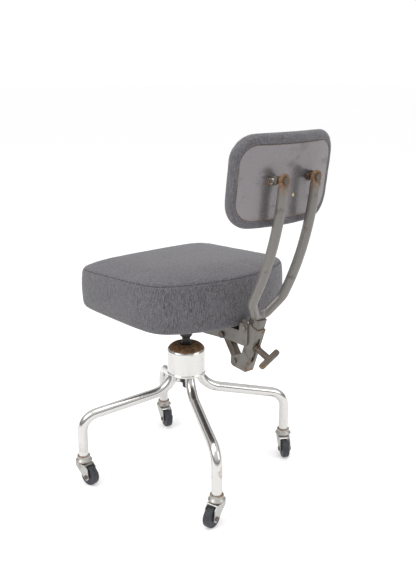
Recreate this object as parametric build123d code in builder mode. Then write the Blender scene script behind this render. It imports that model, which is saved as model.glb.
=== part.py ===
from build123d import *
from math import asin, atan2, cos, degrees, radians, sin, tan
import os

# Adjustable swivel posture chair: four chromed tube legs on casters, a screw spindle,
# a boxed seat and a small curved backrest on a bent tube.
# Frame: origin on the floor on the swivel axis, +Z up, front -Y, the sitter's left +X.
# Millimetres.

# ---------------------------------------------------------------- driving dimensions
# Base
LEG_TUBE_D = 22.2
LEG_WALL = 1.6
LEG_CIRCLE_R = 237.0
LEG_TOP_R = 26.0
LEG_TOP_Z = 280.0
LEG_BOTTOM_Z = 61.5
LEG_SLOPE = 13.0
LEG_SLOPE_Z_AT_CIRCLE = 155.0
LEG_INNER_BEND_R = 62.0
LEG_OUTER_BEND_R = 42.0
LEG_ANGLES = [66.2, 156.2, 246.2, 336.2]

# Hub, bearing and spindle
HUB_CORE_BOTTOM_Z = 215.0
HUB_CORE_OUTER_R = LEG_TOP_R - LEG_TUBE_D / 2
HUB_CORE_BORE_R = 12.1
HUB_PLATE_R = 40.4
HUB_PLATE_THICKNESS = 4.0
HOOD_R = 42.0
HOOD_WALL = 1.5
HOOD_BOTTOM_Z = 237.0
HOOD_SHOULDER_Z = 291.0
HOOD_TOP_Z = 304.5
HOOD_HOLE_R = 14.0
SPINDLE_R = 9.0
RUNNING_FIT = 0.05
SPINDLE_BOTTOM_Z = 200.0
BALL_COUNT = 14
BALL_R = 2.4
BALL_CIRCLE_R = 16.0
RACE_OUTER_R = 20.0
NUT_BOTTOM_Z = 236.0

# Casters
CASTER_HEADINGS = [13.5, 58.6, 76.3, 102.2]
CASTER_TRAIL = 18.0
WHEEL_R = 21.5
WHEEL_TREAD = 16.0
WHEEL_HUB_WIDTH = 21.0
FORK_WIDTH = 26.0
FORK_THICKNESS = 1.8
FORK_CROWN_Z = 48.5
CASTER_STEM_R = 5.55
AXLE_R = 3.0

# Seat and its iron
SEAT_BOTTOM_Z = 392.0
SEAT_SEAM_Z = 481.0
SEAT_CROWN = 12.0
SEAT_FRONT_Y = -166.0
SEAT_REAR_Y = 186.0
SEAT_FRONT_HALF = 183.0
SEAT_REAR_HALF = 175.0
PAN_INSET = 14.0
PAN_THICKNESS = 9.0
SEAT_CLEARANCE = 0.4
IRON_TOP_Z = 388.0
IRON_PLATE = 3.0
IRON_HALF_WIDTH = 14.3
ARM_WIDTH = 28.0
ARM_LENGTH = 250.0
FRONT_ARM_Y = -95.0
REAR_ARM_Y = 105.0

# Tilting upright, its brace and the sliding back post
BACK_LEAN = 19.5
UPRIGHT_FOOT = (204.5, 302.8)
UPRIGHT_LENGTH = 101.0
UPRIGHT_HALF_WIDTH = 11.0
UPRIGHT_PLATE = 2.0
UPRIGHT_DEPTH = 23.0
UPPER_PIN = (33.0, 88.0)
LOWER_PIN = (36.0, 3.0)
LOBE_R = 12.0
PIN_R = 4.5
SLOT_WIDTH = 8.4
SLOT_LOW = 23.0
SLOT_HIGH = 80.0
BRACE_TOP = (137.0, 366.0)
BRACE_HALF_WIDTH = 7.0
BRACE_SLOT_LENGTH = 20.4
BRACE_TIP_REACH = 6.0
SCREW_HEIGHT = 58.5
SCREW_R = 3.9
STEM_R = 6.5
STEM_LENGTH = 31.0
BAR_LENGTH = 50.0
BAR_WIDTH = 13.0
BAR_TURN = 50.0
POST_HALF_WIDTH = 8.7
POST_FRONT = 18.0
POST_REAR = 2.5

# Bent back tube
BACK_TUBE_D = 19.0
BACK_TUBE_WALL = 1.6
BEND_BOTTOM = (233.0, 428.0)
BEND_LEAN = 28.0
ARM_HALF_SPACING = 40.5
ARM_START = 60.0
ARM_TOP = (325.0, 684.0)
KNEE_HEIGHT = 42.0
BEND_FLAT_HALF = 12.0
TAB_LENGTH = 32.0
TAB_THICKNESS = 5.0
TAB_WIDTH = 23.0

# Backrest
PIVOT = (312.5, 703.0)
BACKREST_LEAN = 7.3
BACKREST_CENTRE = (303.5, 697.0)
BACKREST_R = 380.0
PLATE_HALF_ARC = 17.1
PLATE_HEIGHT = 134.0
PLATE_THICKNESS = 1.5
PLATE_CORNER_R = 34.0
CUSHION_MARGIN = 12.0
CUSHION_RISE = 17.0
CUSHION_THICKNESS = 35.0
CUSHION_ROUNDING = 20.0
BRACKET_PLATE = 2.5
KNUCKLE_R = 7.0
PIVOT_BOLT_R = 3.0
KNUCKLE_OUTER_X = 49.0
KNUCKLE_WIDTH = 13.0
EAR_PLATE = 3.0
SPOT_HOLE = (-12.0, 671.0)

os.makedirs("parts", exist_ok=True)


def save(piece, name):
    """Label a finished piece and write it as its own STEP file."""
    piece.label = name
    export_step(piece, "parts/" + name + ".step")


def facing(angle, origin=(0, 0, 0)):
    """Upright plane through the origin: local x points out along the angle, local y up."""
    a = radians(angle)
    return Plane(origin=origin, x_dir=(cos(a), sin(a), 0), z_dir=(sin(a), -cos(a), 0))


# ---------------------------------------------------------------- legs
def leg_path_points():
    """Centre line of one leg as (radius, height): up in the hood, sloping out, down to the caster."""
    fall = tan(radians(LEG_SLOPE))
    inner_z = LEG_SLOPE_Z_AT_CIRCLE + fall * (LEG_CIRCLE_R - LEG_TOP_R)
    return [
        (LEG_TOP_R, LEG_TOP_Z),
        (LEG_TOP_R, inner_z),
        (LEG_CIRCLE_R, LEG_SLOPE_Z_AT_CIRCLE),
        (LEG_CIRCLE_R, LEG_BOTTOM_Z),
    ]


def make_leg(number, angle):
    a = radians(angle)
    start = (LEG_TOP_R * cos(a), LEG_TOP_R * sin(a), LEG_TOP_Z)
    with BuildPart() as leg:
        with BuildLine(facing(angle)) as centre_line:
            FilletPolyline(*leg_path_points(), radius=[LEG_INNER_BEND_R, LEG_OUTER_BEND_R])
        with BuildSketch(Plane(origin=start, z_dir=(0, 0, -1))):
            Circle(LEG_TUBE_D / 2)
            Circle(LEG_TUBE_D / 2 - LEG_WALL, mode=Mode.SUBTRACT)
        sweep(path=centre_line.wires()[0])
    save(leg.part, "leg_" + str(number))


for index, leg_angle in enumerate(LEG_ANGLES):
    make_leg(index + 1, leg_angle)


# ---------------------------------------------------------------- hub
with BuildPart() as hub_core:
    with BuildSketch(Plane.XY.offset(HUB_CORE_BOTTOM_Z)):
        Circle(HUB_CORE_OUTER_R)
        Circle(HUB_CORE_BORE_R, mode=Mode.SUBTRACT)
    extrude(amount=LEG_TOP_Z + HUB_PLATE_THICKNESS - HUB_CORE_BOTTOM_Z)
save(hub_core.part, "hub_core")

with BuildPart() as hub_plate:
    with BuildSketch(Plane.XY.offset(LEG_TOP_Z)):
        Circle(HUB_PLATE_R)
        Circle(HUB_CORE_OUTER_R, mode=Mode.SUBTRACT)
    extrude(amount=HUB_PLATE_THICKNESS)
save(hub_plate.part, "hub_plate")

with BuildPart() as hub_hood:
    with BuildSketch(Plane.XZ):
        with BuildLine():
            Polyline((HOOD_R + 1.2, HOOD_BOTTOM_Z), (HOOD_R + 1.2, HOOD_BOTTOM_Z + 3), (HOOD_R, HOOD_BOTTOM_Z + 5))
            Line((HOOD_R, HOOD_BOTTOM_Z + 5), (HOOD_R, HOOD_SHOULDER_Z))
            ThreePointArc(
                (HOOD_R, HOOD_SHOULDER_Z),
                (HOOD_R - 4.5, HOOD_SHOULDER_Z + 7.5),
                (HOOD_HOLE_R, HOOD_TOP_Z),
            )
            Line((HOOD_HOLE_R, HOOD_TOP_Z), (HOOD_HOLE_R, HOOD_TOP_Z - HOOD_WALL))
            ThreePointArc(
                (HOOD_HOLE_R, HOOD_TOP_Z - HOOD_WALL),
                (HOOD_R - 4.5 - HOOD_WALL, HOOD_SHOULDER_Z + 7.5 - HOOD_WALL),
                (HOOD_R - HOOD_WALL, HOOD_SHOULDER_Z),
            )
            Line((HOOD_R - HOOD_WALL, HOOD_SHOULDER_Z), (HOOD_R - HOOD_WALL, HOOD_BOTTOM_Z))
            Line((HOOD_R - HOOD_WALL, HOOD_BOTTOM_Z), (HOOD_R + 1.2, HOOD_BOTTOM_Z))
        make_face()
    revolve(axis=Axis.Z)
save(hub_hood.part, "hub_hood")


# ---------------------------------------------------------------- thrust bearing and spindle
RACE_BOTTOM_Z = LEG_TOP_Z + HUB_PLATE_THICKNESS
BALL_Z = RACE_BOTTOM_Z + 3.0 + 0.05 + BALL_R
UPPER_RACE_Z = BALL_Z + BALL_R + 0.05
NUT_FLANGE_Z = UPPER_RACE_Z + 2.5
NUT_TOP_Z = HOOD_TOP_Z + 2.0

with BuildPart() as bearing_lower_race:
    with BuildSketch(Plane.XY.offset(RACE_BOTTOM_Z)):
        Circle(RACE_OUTER_R)
        Circle(HUB_CORE_BORE_R, mode=Mode.SUBTRACT)
    extrude(amount=3.0)
save(bearing_lower_race.part, "bearing_lower_race")

with BuildPart() as bearing_balls:
    with PolarLocations(BALL_CIRCLE_R, BALL_COUNT):
        with Locations((0, 0, BALL_Z)):
            Sphere(BALL_R)
save(bearing_balls.part, "bearing_balls")

with BuildPart() as bearing_upper_race:
    with BuildSketch(Plane.XY.offset(UPPER_RACE_Z)):
        Circle(RACE_OUTER_R)
        Circle(HUB_CORE_BORE_R, mode=Mode.SUBTRACT)
    extrude(amount=2.5)
save(bearing_upper_race.part, "bearing_upper_race")

with BuildPart() as spindle_nut:
    with BuildSketch(Plane.XY.offset(NUT_BOTTOM_Z)):
        Circle(HUB_CORE_BORE_R - RUNNING_FIT)
    extrude(amount=NUT_FLANGE_Z - NUT_BOTTOM_Z)
    with BuildSketch(Plane.XY.offset(NUT_FLANGE_Z)):
        Circle(18.0)
    extrude(amount=5.0)
    with BuildSketch(Plane.XY.offset(NUT_FLANGE_Z + 5.0)):
        Circle(12.5)
    extrude(amount=NUT_TOP_Z - NUT_FLANGE_Z - 5.0)
    with BuildSketch(Plane.XY.offset(NUT_BOTTOM_Z)):
        Circle(SPINDLE_R + RUNNING_FIT)
    extrude(amount=NUT_TOP_Z - NUT_BOTTOM_Z, mode=Mode.SUBTRACT)
save(spindle_nut.part, "spindle_nut")

SPINDLE_TOP_Z = IRON_TOP_Z - IRON_PLATE
with BuildPart() as spindle_screw:
    with BuildSketch(Plane.XY.offset(SPINDLE_BOTTOM_Z)):
        Circle(SPINDLE_R)
    extrude(amount=SPINDLE_TOP_Z - SPINDLE_BOTTOM_Z)
    fillet(spindle_screw.edges().group_by(Axis.Z)[0], radius=4.0)
save(spindle_screw.part, "spindle_screw")

COLLAR_BOTTOM_Z = 322.0
SOCKET_BOTTOM_Z = 331.0
with BuildPart() as spindle_collar:
    with BuildSketch(Plane.XZ):
        with BuildLine():
            Polyline(
                (SPINDLE_R, COLLAR_BOTTOM_Z),
                (12.0, COLLAR_BOTTOM_Z),
                (14.0, COLLAR_BOTTOM_Z + 3),
                (14.0, SOCKET_BOTTOM_Z),
                (SPINDLE_R, SOCKET_BOTTOM_Z),
                close=True,
            )
        make_face()
    revolve(axis=Axis.Z)
save(spindle_collar.part, "spindle_collar")

IRON_INNER_HALF = IRON_HALF_WIDTH - IRON_PLATE
with BuildPart() as spindle_socket:
    with BuildSketch(Plane.XY.offset(SOCKET_BOTTOM_Z)):
        Circle(IRON_INNER_HALF)
        Circle(SPINDLE_R, mode=Mode.SUBTRACT)
    extrude(amount=SPINDLE_TOP_Z - SOCKET_BOTTOM_Z)
save(spindle_socket.part, "spindle_socket")


# ---------------------------------------------------------------- seat iron and arms
def upright_yz(forward, up):
    """Point in the side view, measured from the upright's rear foot: forward of its rear face and up it."""
    lean = radians(BACK_LEAN)
    y = UPRIGHT_FOOT[0] - forward * cos(lean) + up * sin(lean)
    z = UPRIGHT_FOOT[1] + forward * sin(lean) + up * cos(lean)
    return (y, z)


upper_pin_yz = upright_yz(*UPPER_PIN)
lower_pin_yz = upright_yz(*LOWER_PIN)

with BuildPart() as seat_iron:
    with BuildSketch(Plane.YZ.offset(-IRON_HALF_WIDTH)):
        with BuildLine():
            FilletPolyline(
                (-66, IRON_TOP_Z),
                (-66, 362),
                (-30, 352),
                (82, 353.5),
                (150, 359.5),
                (212.4, 359.5),
                (212.4, 405.5),
                (190, 405.5),
                (188, IRON_TOP_Z - 1),
                radius=[10, 14, 40, 30, 10, 3, 1.2],
                close=False,
            )
            Line((188, IRON_TOP_Z - 1), (187, IRON_TOP_Z))
            Line((187, IRON_TOP_Z), (-66, IRON_TOP_Z))
        make_face()
    extrude(amount=2 * IRON_HALF_WIDTH)
    with BuildSketch(Plane.YZ.offset(-IRON_INNER_HALF)):
        with BuildLine():
            Polyline(
                (-80, SPINDLE_TOP_Z),
                (-80, 340),
                (230, 340),
                (230, 420),
                (146, 420),
                (146, SPINDLE_TOP_Z),
                close=True,
            )
        make_face()
    extrude(amount=2 * IRON_INNER_HALF, mode=Mode.SUBTRACT)
    with BuildSketch(Plane.YZ.offset(-IRON_HALF_WIDTH)):
        with Locations(upper_pin_yz):
            Circle(PIN_R)
        with Locations(BRACE_TOP):
            Circle(3.0)
    extrude(amount=2 * IRON_HALF_WIDTH, mode=Mode.SUBTRACT)
save(seat_iron.part, "seat_iron")


def make_seat_arm(name, y):
    """Pressed cross strap that carries the pan, lying on the iron."""
    with BuildPart() as arm:
        with BuildSketch(Plane.XY.offset(IRON_TOP_Z)):
            with Locations((0, y)):
                SlotOverall(ARM_LENGTH, ARM_WIDTH)
            with Locations((-ARM_LENGTH / 2 + 14, y), (ARM_LENGTH / 2 - 14, y)):
                Circle(3.2, mode=Mode.SUBTRACT)
        extrude(amount=SEAT_BOTTOM_Z - IRON_TOP_Z)
    save(arm.part, name)


make_seat_arm("seat_arm_front", FRONT_ARM_Y + 40)
make_seat_arm("seat_arm_rear", REAR_ARM_Y)


# ---------------------------------------------------------------- seat
def seat_outline(inset):
    """Plan of the seat: nearly straight front, sides drawing in, broad curved rear."""
    front = SEAT_FRONT_Y + inset
    rear = SEAT_REAR_Y - inset
    front_half = SEAT_FRONT_HALF - inset
    rear_half = SEAT_REAR_HALF - inset
    corner_y = front + 8
    with BuildLine() as outline:
        ThreePointArc((-front_half, corner_y), (0, front - 6), (front_half, corner_y))
        Line((front_half, corner_y), (rear_half, rear - 66))
        ThreePointArc((rear_half, rear - 66), (0, rear), (-rear_half, rear - 66))
        Line((-rear_half, rear - 66), (-front_half, corner_y))
    return outline.line


with BuildPart() as seat_pan:
    with BuildSketch(Plane.XY.offset(SEAT_BOTTOM_Z)) as pan_sketch:
        add(seat_outline(PAN_INSET))
        make_face()
        fillet(pan_sketch.vertices(), radius=34)
        for hole_y in (FRONT_ARM_Y + 40, REAR_ARM_Y):
            with Locations((-ARM_LENGTH / 2 + 14, hole_y), (ARM_LENGTH / 2 - 14, hole_y)):
                Circle(3.2, mode=Mode.SUBTRACT)
    extrude(amount=PAN_THICKNESS)
save(seat_pan.part, "seat_pan")

with BuildPart() as seat_cushion:
    with BuildSketch(Plane.XY.offset(SEAT_BOTTOM_Z - 2)) as cushion_sketch:
        add(seat_outline(0))
        make_face()
        fillet(cushion_sketch.vertices(), radius=44)
    extrude(amount=SEAT_SEAM_Z + SEAT_CROWN - SEAT_BOTTOM_Z + 2)
    fillet(seat_cushion.faces().sort_by(Axis.Z)[-1].edges(), radius=12)
    fillet(seat_cushion.faces().sort_by(Axis.Z)[0].edges(), radius=9)
    with BuildSketch(Plane.XY.offset(SEAT_BOTTOM_Z - 2)) as pocket_sketch:
        add(seat_outline(PAN_INSET - SEAT_CLEARANCE))
        make_face()
        fillet(pocket_sketch.vertices(), radius=34)
    extrude(amount=PAN_THICKNESS + 2 + SEAT_CLEARANCE, mode=Mode.SUBTRACT)
save(seat_cushion.part, "seat_cushion")

with BuildPart() as seat_bolts:
    for bolt_y in (FRONT_ARM_Y + 40, REAR_ARM_Y):
        for bolt_x in (-ARM_LENGTH / 2 + 14, ARM_LENGTH / 2 - 14):
            with BuildSketch(Plane.XY.offset(IRON_TOP_Z - 4)):
                with Locations((bolt_x, bolt_y)):
                    RegularPolygon(6.0, 6)
            extrude(amount=4)
            with BuildSketch(Plane.XY.offset(IRON_TOP_Z)):
                with Locations((bolt_x, bolt_y)):
                    Circle(3.2)
            extrude(amount=SEAT_BOTTOM_Z + PAN_THICKNESS - IRON_TOP_Z)
save(seat_bolts.part, "seat_bolts")


# ---------------------------------------------------------------- upright and brace
def upright_plane(forward, up=0.0):
    """Plane parallel to the upright's rear face: local x to the sitter's right, local y up the slope."""
    lean = radians(BACK_LEAN)
    y, z = upright_yz(forward, up)
    return Plane(origin=(0, y, z), x_dir=(-1, 0, 0), z_dir=(0, cos(lean), -sin(lean)))


def upright_side(start_forward):
    """Side profile of the folded upright, from its rear face forward to the two pin lobes."""
    with BuildLine() as outline:
        Polyline(
            upright_yz(start_forward, 0),
            upright_yz(start_forward, UPRIGHT_LENGTH),
            upright_yz(UPPER_PIN[0] + LOBE_R, UPRIGHT_LENGTH),
            upright_yz(UPPER_PIN[0] + LOBE_R, UPPER_PIN[1] - LOBE_R),
            upright_yz(UPRIGHT_DEPTH, UPPER_PIN[1] - 2 * LOBE_R),
            upright_yz(UPRIGHT_DEPTH, LOWER_PIN[1] + 2.4 * LOBE_R),
            upright_yz(LOWER_PIN[0] + 4, LOWER_PIN[1] + LOBE_R),
            upright_yz(LOWER_PIN[0] + LOBE_R, LOWER_PIN[1] + 3),
            upright_yz(LOWER_PIN[0] + LOBE_R - 4, LOWER_PIN[1] - LOBE_R + 1.5),
            upright_yz(LOWER_PIN[0], LOWER_PIN[1] - LOBE_R - 1),
            close=True,
        )
    return outline.line


with BuildPart() as upright:
    with BuildSketch(Plane.YZ.offset(-UPRIGHT_HALF_WIDTH)):
        add(upright_side(0.0))
        make_face()
    extrude(amount=2 * UPRIGHT_HALF_WIDTH)
    inner_half = UPRIGHT_HALF_WIDTH - UPRIGHT_PLATE
    with BuildSketch(upright_plane(UPRIGHT_PLATE)):
        with Locations((0, UPRIGHT_LENGTH / 2)):
            Rectangle(2 * inner_half, UPRIGHT_LENGTH + 80)
    extrude(amount=-80, mode=Mode.SUBTRACT)
    with BuildSketch(upright_plane(-5)):
        with Locations((0, (SLOT_LOW + SLOT_HIGH) / 2)):
            SlotOverall(SLOT_HIGH - SLOT_LOW, SLOT_WIDTH, rotation=90)
    extrude(amount=-20, mode=Mode.SUBTRACT)
    with BuildSketch(Plane.YZ.offset(-UPRIGHT_HALF_WIDTH)):
        with Locations(upper_pin_yz):
            Circle(PIN_R + RUNNING_FIT)
        with Locations(lower_pin_yz):
            Circle(PIN_R)
    extrude(amount=2 * UPRIGHT_HALF_WIDTH, mode=Mode.SUBTRACT)
save(upright.part, "upright")


def cross_pin(name, centre, radius, half_length, head_radius, head_thickness):
    """Riveted pin lying across the chair with a round head at each end."""
    with BuildPart() as pin:
        with BuildSketch(Plane.YZ.offset(-half_length)):
            with Locations(centre):
                Circle(radius)
        extrude(amount=2 * half_length)
        for side in (-1, 1):
            with BuildSketch(Plane.YZ.offset(side * half_length)):
                with Locations(centre):
                    Circle(head_radius)
            extrude(amount=side * head_thickness)
    save(pin.part, name)


cross_pin("upright_pivot_pin", upper_pin_yz, PIN_R, IRON_HALF_WIDTH, 6.3, 3.0)
cross_pin("brace_pin", lower_pin_yz, PIN_R, UPRIGHT_HALF_WIDTH, 6.0, 2.6)

brace_rise = BRACE_TOP[1] - lower_pin_yz[1]
brace_run = BRACE_TOP[0] - lower_pin_yz[0]
brace_angle = degrees(atan2(brace_rise, brace_run))
brace_length = (brace_rise**2 + brace_run**2) ** 0.5 + BRACE_TIP_REACH
brace_mid = (
    lower_pin_yz[0] + brace_length / 2 * cos(radians(brace_angle)),
    lower_pin_yz[1] + brace_length / 2 * sin(radians(brace_angle)),
)
CLAMP_BOLT_R = 3.0
with BuildPart() as brace_link:
    with BuildSketch(Plane.YZ.offset(-BRACE_HALF_WIDTH)):
        with Locations(Location((brace_mid[0], brace_mid[1], 0), (0, 0, brace_angle))):
            SlotCenterToCenter(brace_length, 16)
    extrude(amount=2 * BRACE_HALF_WIDTH)
    with BuildSketch(Plane.YZ.offset(-BRACE_HALF_WIDTH)):
        with Locations(Location((lower_pin_yz[0], lower_pin_yz[1], 0))):
            Circle(PIN_R + RUNNING_FIT)
        with Locations(Location((BRACE_TOP[0], BRACE_TOP[1], 0), (0, 0, brace_angle))):
            SlotOverall(BRACE_SLOT_LENGTH, 2 * CLAMP_BOLT_R + 1.6)
    extrude(amount=2 * BRACE_HALF_WIDTH, mode=Mode.SUBTRACT)
save(brace_link.part, "brace_link")

with BuildPart() as brace_clamp_bolt:
    with BuildSketch(Plane.YZ.offset(-IRON_HALF_WIDTH - 10)):
        with Locations(BRACE_TOP):
            Circle(CLAMP_BOLT_R)
    extrude(amount=2 * IRON_HALF_WIDTH + 10)
    with BuildSketch(Plane.YZ.offset(IRON_HALF_WIDTH)):
        with Locations(BRACE_TOP):
            Circle(7.0)
    extrude(amount=4)
save(brace_clamp_bolt.part, "brace_clamp_bolt")

with BuildPart() as brace_clamp_nut:
    with BuildSketch(Plane.YZ.offset(-IRON_HALF_WIDTH)):
        with Locations(BRACE_TOP):
            RegularPolygon(6.4, 6)
            Circle(CLAMP_BOLT_R, mode=Mode.SUBTRACT)
    extrude(amount=-6)
save(brace_clamp_nut.part, "brace_clamp_nut")


# ---------------------------------------------------------------- back post and T screw
with BuildPart() as back_post:
    post_bottom = SCREW_HEIGHT - 26
    post_top = 124.0
    with BuildSketch(upright_plane(POST_REAR)):
        with Locations((0, (post_bottom + post_top) / 2)):
            Rectangle(2 * POST_HALF_WIDTH, post_top - post_bottom)
    extrude(amount=-(POST_FRONT - POST_REAR))
    with BuildSketch(upright_plane(-5)):
        with Locations((0, SCREW_HEIGHT)):
            Circle(SCREW_R + RUNNING_FIT)
    extrude(amount=-40, mode=Mode.SUBTRACT)
    with BuildSketch(Plane.YZ.offset(-20)):
        with Locations(BEND_BOTTOM):
            Circle(BACK_TUBE_D / 2)
    extrude(amount=40, mode=Mode.SUBTRACT)
save(back_post.part, "back_post")

with BuildPart() as t_washer:
    with BuildSketch(upright_plane(-0.3)):
        with Locations((0, SCREW_HEIGHT)):
            RegularPolygon(9.0, 6)
            Circle(SCREW_R, mode=Mode.SUBTRACT)
    extrude(amount=4.7)
save(t_washer.part, "t_washer")

with BuildPart() as t_screw:
    with BuildSketch(upright_plane(17)):
        with Locations((0, SCREW_HEIGHT)):
            Circle(SCREW_R)
    extrude(amount=17 + 5.0)
    with BuildSketch(upright_plane(-5.0)):
        with Locations((0, SCREW_HEIGHT)):
            Circle(STEM_R)
    extrude(amount=STEM_LENGTH)
save(t_screw.part, "t_screw")

with BuildPart() as t_handle:
    with BuildSketch(upright_plane(-5.0 - STEM_LENGTH)):
        with Locations((0, SCREW_HEIGHT)):
            SlotOverall(BAR_LENGTH, BAR_WIDTH, rotation=90 - BAR_TURN)
    extrude(amount=8)
    fillet(t_handle.edges().group_by(Axis((0, 0, 0), (0, cos(radians(BACK_LEAN)), -sin(radians(BACK_LEAN)))))[-1], 2.6)
save(t_handle.part, "t_handle")


# ---------------------------------------------------------------- bent back tube
def arm_points():
    """Side view of an arm: start just above the bend, and the top of the round tube."""
    lean = radians(BEND_LEAN)
    return (
        (BEND_BOTTOM[0] + ARM_START * sin(lean), BEND_BOTTOM[1] + ARM_START * cos(lean)),
        ARM_TOP,
    )


def arm_end_lean():
    """Lean of the arm's centre line at its top: an arc turns by twice the angle to its chord."""
    (y0, z0), (y1, z1) = arm_points()
    chord = degrees(atan2(y1 - y0, z1 - z0))
    return 2 * chord - BEND_LEAN


def arm_top_plane(side):
    """Plane square across the top of an arm: local x sideways, local y rearward."""
    lean = radians(arm_end_lean())
    return Plane(
        origin=(side * ARM_HALF_SPACING, ARM_TOP[0], ARM_TOP[1]),
        x_dir=(1, 0, 0),
        z_dir=(0, sin(lean), cos(lean)),
    )


def flattened_end(side):
    """Tube end pressed flat into a bolting tab."""
    top = arm_top_plane(side)
    side_view = Plane(origin=top.origin, x_dir=top.y_dir, z_dir=(1, 0, 0))
    half = TAB_THICKNESS / 2
    with BuildPart() as squeezed:
        with BuildSketch(top):
            Circle(BACK_TUBE_D / 2)
        extrude(amount=14)
        with BuildSketch(side_view) as taper:
            Polygon((-10, 0), (10, 0), (half, 14), (-half, 14), align=None)
        extrude(amount=20, both=True, mode=Mode.INTERSECT)
        with BuildSketch(Plane(origin=top.origin - top.y_dir * half, x_dir=(1, 0, 0), z_dir=top.y_dir)) as tab:
            with Locations((0, -13)):
                Rectangle(TAB_WIDTH, TAB_LENGTH - 13 - TAB_WIDTH / 2, align=(Align.CENTER, Align.MAX))
            with Locations((0, -TAB_LENGTH + TAB_WIDTH / 2)):
                Circle(TAB_WIDTH / 2)
        extrude(amount=TAB_THICKNESS)
    return squeezed.part


bend_lean = radians(BEND_LEAN)
bend_plane = Plane(
    origin=(0, BEND_BOTTOM[0], BEND_BOTTOM[1]),
    x_dir=(-1, 0, 0),
    z_dir=(0, cos(bend_lean), -sin(bend_lean)),
)
arm_start, arm_end = arm_points()


def arm_arc():
    """Point midway along an arm: the chord's middle, pushed rearward by the arc's rise."""
    (y0, z0), (y1, z1) = arm_points()
    chord = ((y1 - y0) ** 2 + (z1 - z0) ** 2) ** 0.5
    chord_lean = atan2(y1 - y0, z1 - z0)
    rise = chord / 2 * tan((bend_lean - chord_lean) / 2)
    return ((y0 + y1) / 2 + rise * cos(chord_lean), (z0 + z1) / 2 - rise * sin(chord_lean))


with BuildLine(Plane.YZ.offset(-ARM_HALF_SPACING)) as right_arm_line:
    ThreePointArc(arm_start, arm_arc(), arm_end)
with BuildLine(Plane.YZ.offset(ARM_HALF_SPACING)) as left_arm_line:
    ThreePointArc(arm_start, arm_arc(), arm_end)
with BuildLine(bend_plane) as bend_line:
    FilletPolyline(
        (ARM_HALF_SPACING, ARM_START),
        (ARM_HALF_SPACING, KNEE_HEIGHT),
        (BEND_FLAT_HALF, 0),
        (-BEND_FLAT_HALF, 0),
        (-ARM_HALF_SPACING, KNEE_HEIGHT),
        (-ARM_HALF_SPACING, ARM_START),
        radius=[30, 22, 22, 30],
    )
tube_path = Wire(right_arm_line.edges() + bend_line.edges() + left_arm_line.edges())
with BuildPart() as u_tube:
    with BuildSketch(arm_top_plane(-1)):
        Circle(BACK_TUBE_D / 2)
        Circle(BACK_TUBE_D / 2 - BACK_TUBE_WALL, mode=Mode.SUBTRACT)
    sweep(path=tube_path)
    for side in (-1, 1):
        add(flattened_end(side))
save(u_tube.part, "u_tube")

# ---------------------------------------------------------------- backrest
backrest_plane = Plane(
    origin=(0, BACKREST_CENTRE[0], BACKREST_CENTRE[1]),
    x_dir=(1, 0, 0),
    z_dir=(0, sin(radians(BACKREST_LEAN)), cos(radians(BACKREST_LEAN))),
)


def arc_band(rear_radius, front_radius, half_arc):
    """Plan of a curved slab: two concentric arcs about a centre in front of the backrest."""
    a = radians(half_arc)
    centre_y = -BACKREST_R

    def at(radius, angle):
        return (radius * sin(angle), centre_y + radius * cos(angle))

    with BuildLine() as outline:
        ThreePointArc(at(rear_radius, -a), at(rear_radius, 0), at(rear_radius, a))
        Line(at(rear_radius, a), at(front_radius, a))
        ThreePointArc(at(front_radius, a), at(front_radius, 0), at(front_radius, -a))
        Line(at(front_radius, -a), at(rear_radius, -a))
    return outline.line


def rounded_front(width, height, corner):
    """Rounded rectangle seen from behind, used to trim a curved slab."""
    rear_view = Plane(origin=backrest_plane.origin, x_dir=(-1, 0, 0), z_dir=backrest_plane.y_dir)
    with BuildSketch(rear_view) as outline:
        RectangleRounded(width, height, corner)
    return outline.sketch


plate_half_chord = BACKREST_R * sin(radians(PLATE_HALF_ARC))
with BuildPart() as back_plate:
    with BuildSketch(backrest_plane.offset(-PLATE_HEIGHT / 2)):
        add(arc_band(BACKREST_R, BACKREST_R - PLATE_THICKNESS, PLATE_HALF_ARC))
        make_face()
    extrude(amount=PLATE_HEIGHT)
    extrude(to_extrude=rounded_front(2 * plate_half_chord, PLATE_HEIGHT, PLATE_CORNER_R), amount=150, both=True, mode=Mode.INTERSECT)
    with BuildSketch(Plane.XZ.offset(-400)):
        with Locations(SPOT_HOLE):
            Circle(3.4)
    extrude(amount=200, mode=Mode.SUBTRACT)
save(back_plate.part, "back_plate")

margin_arc = degrees(CUSHION_MARGIN / BACKREST_R)
cushion_height = PLATE_HEIGHT + 2 * CUSHION_RISE
cushion_half_arc = PLATE_HALF_ARC + margin_arc
cushion_half_chord = BACKREST_R * sin(radians(cushion_half_arc))
with BuildPart() as back_cushion:
    with BuildSketch(backrest_plane.offset(-cushion_height / 2)) as cushion_plan:
        add(arc_band(BACKREST_R, BACKREST_R - CUSHION_THICKNESS, cushion_half_arc))
        make_face()
        fillet(cushion_plan.vertices().sort_by(Axis.Y)[:2], radius=CUSHION_ROUNDING)
    extrude(amount=cushion_height)
    extrude(to_extrude=rounded_front(2 * cushion_half_chord - 5, cushion_height - 1, PLATE_CORNER_R + CUSHION_MARGIN), amount=150, both=True, mode=Mode.INTERSECT)
    with BuildSketch(backrest_plane.offset(-PLATE_HEIGHT / 2 - 1)):
        add(arc_band(BACKREST_R + 5, BACKREST_R - PLATE_THICKNESS - SEAT_CLEARANCE, PLATE_HALF_ARC + 0.25))
        make_face()
    extrude(amount=PLATE_HEIGHT + 2, mode=Mode.SUBTRACT)
save(back_cushion.part, "back_cushion")


# ---------------------------------------------------------------- backrest hinges
def mirrored(name, build):
    """Make the sitter's left piece and its mirror image on the right."""
    piece = build()
    save(piece, name + "_left")
    save(piece.mirror(Plane.YZ), name + "_right")


def mirrored_pair(name, build):
    """Make the sitter's left fastener and its mirror image as one node."""
    piece = build()
    with BuildPart() as pair:
        add(piece)
        add(piece.mirror(Plane.YZ))
    save(pair.part, name)


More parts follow.
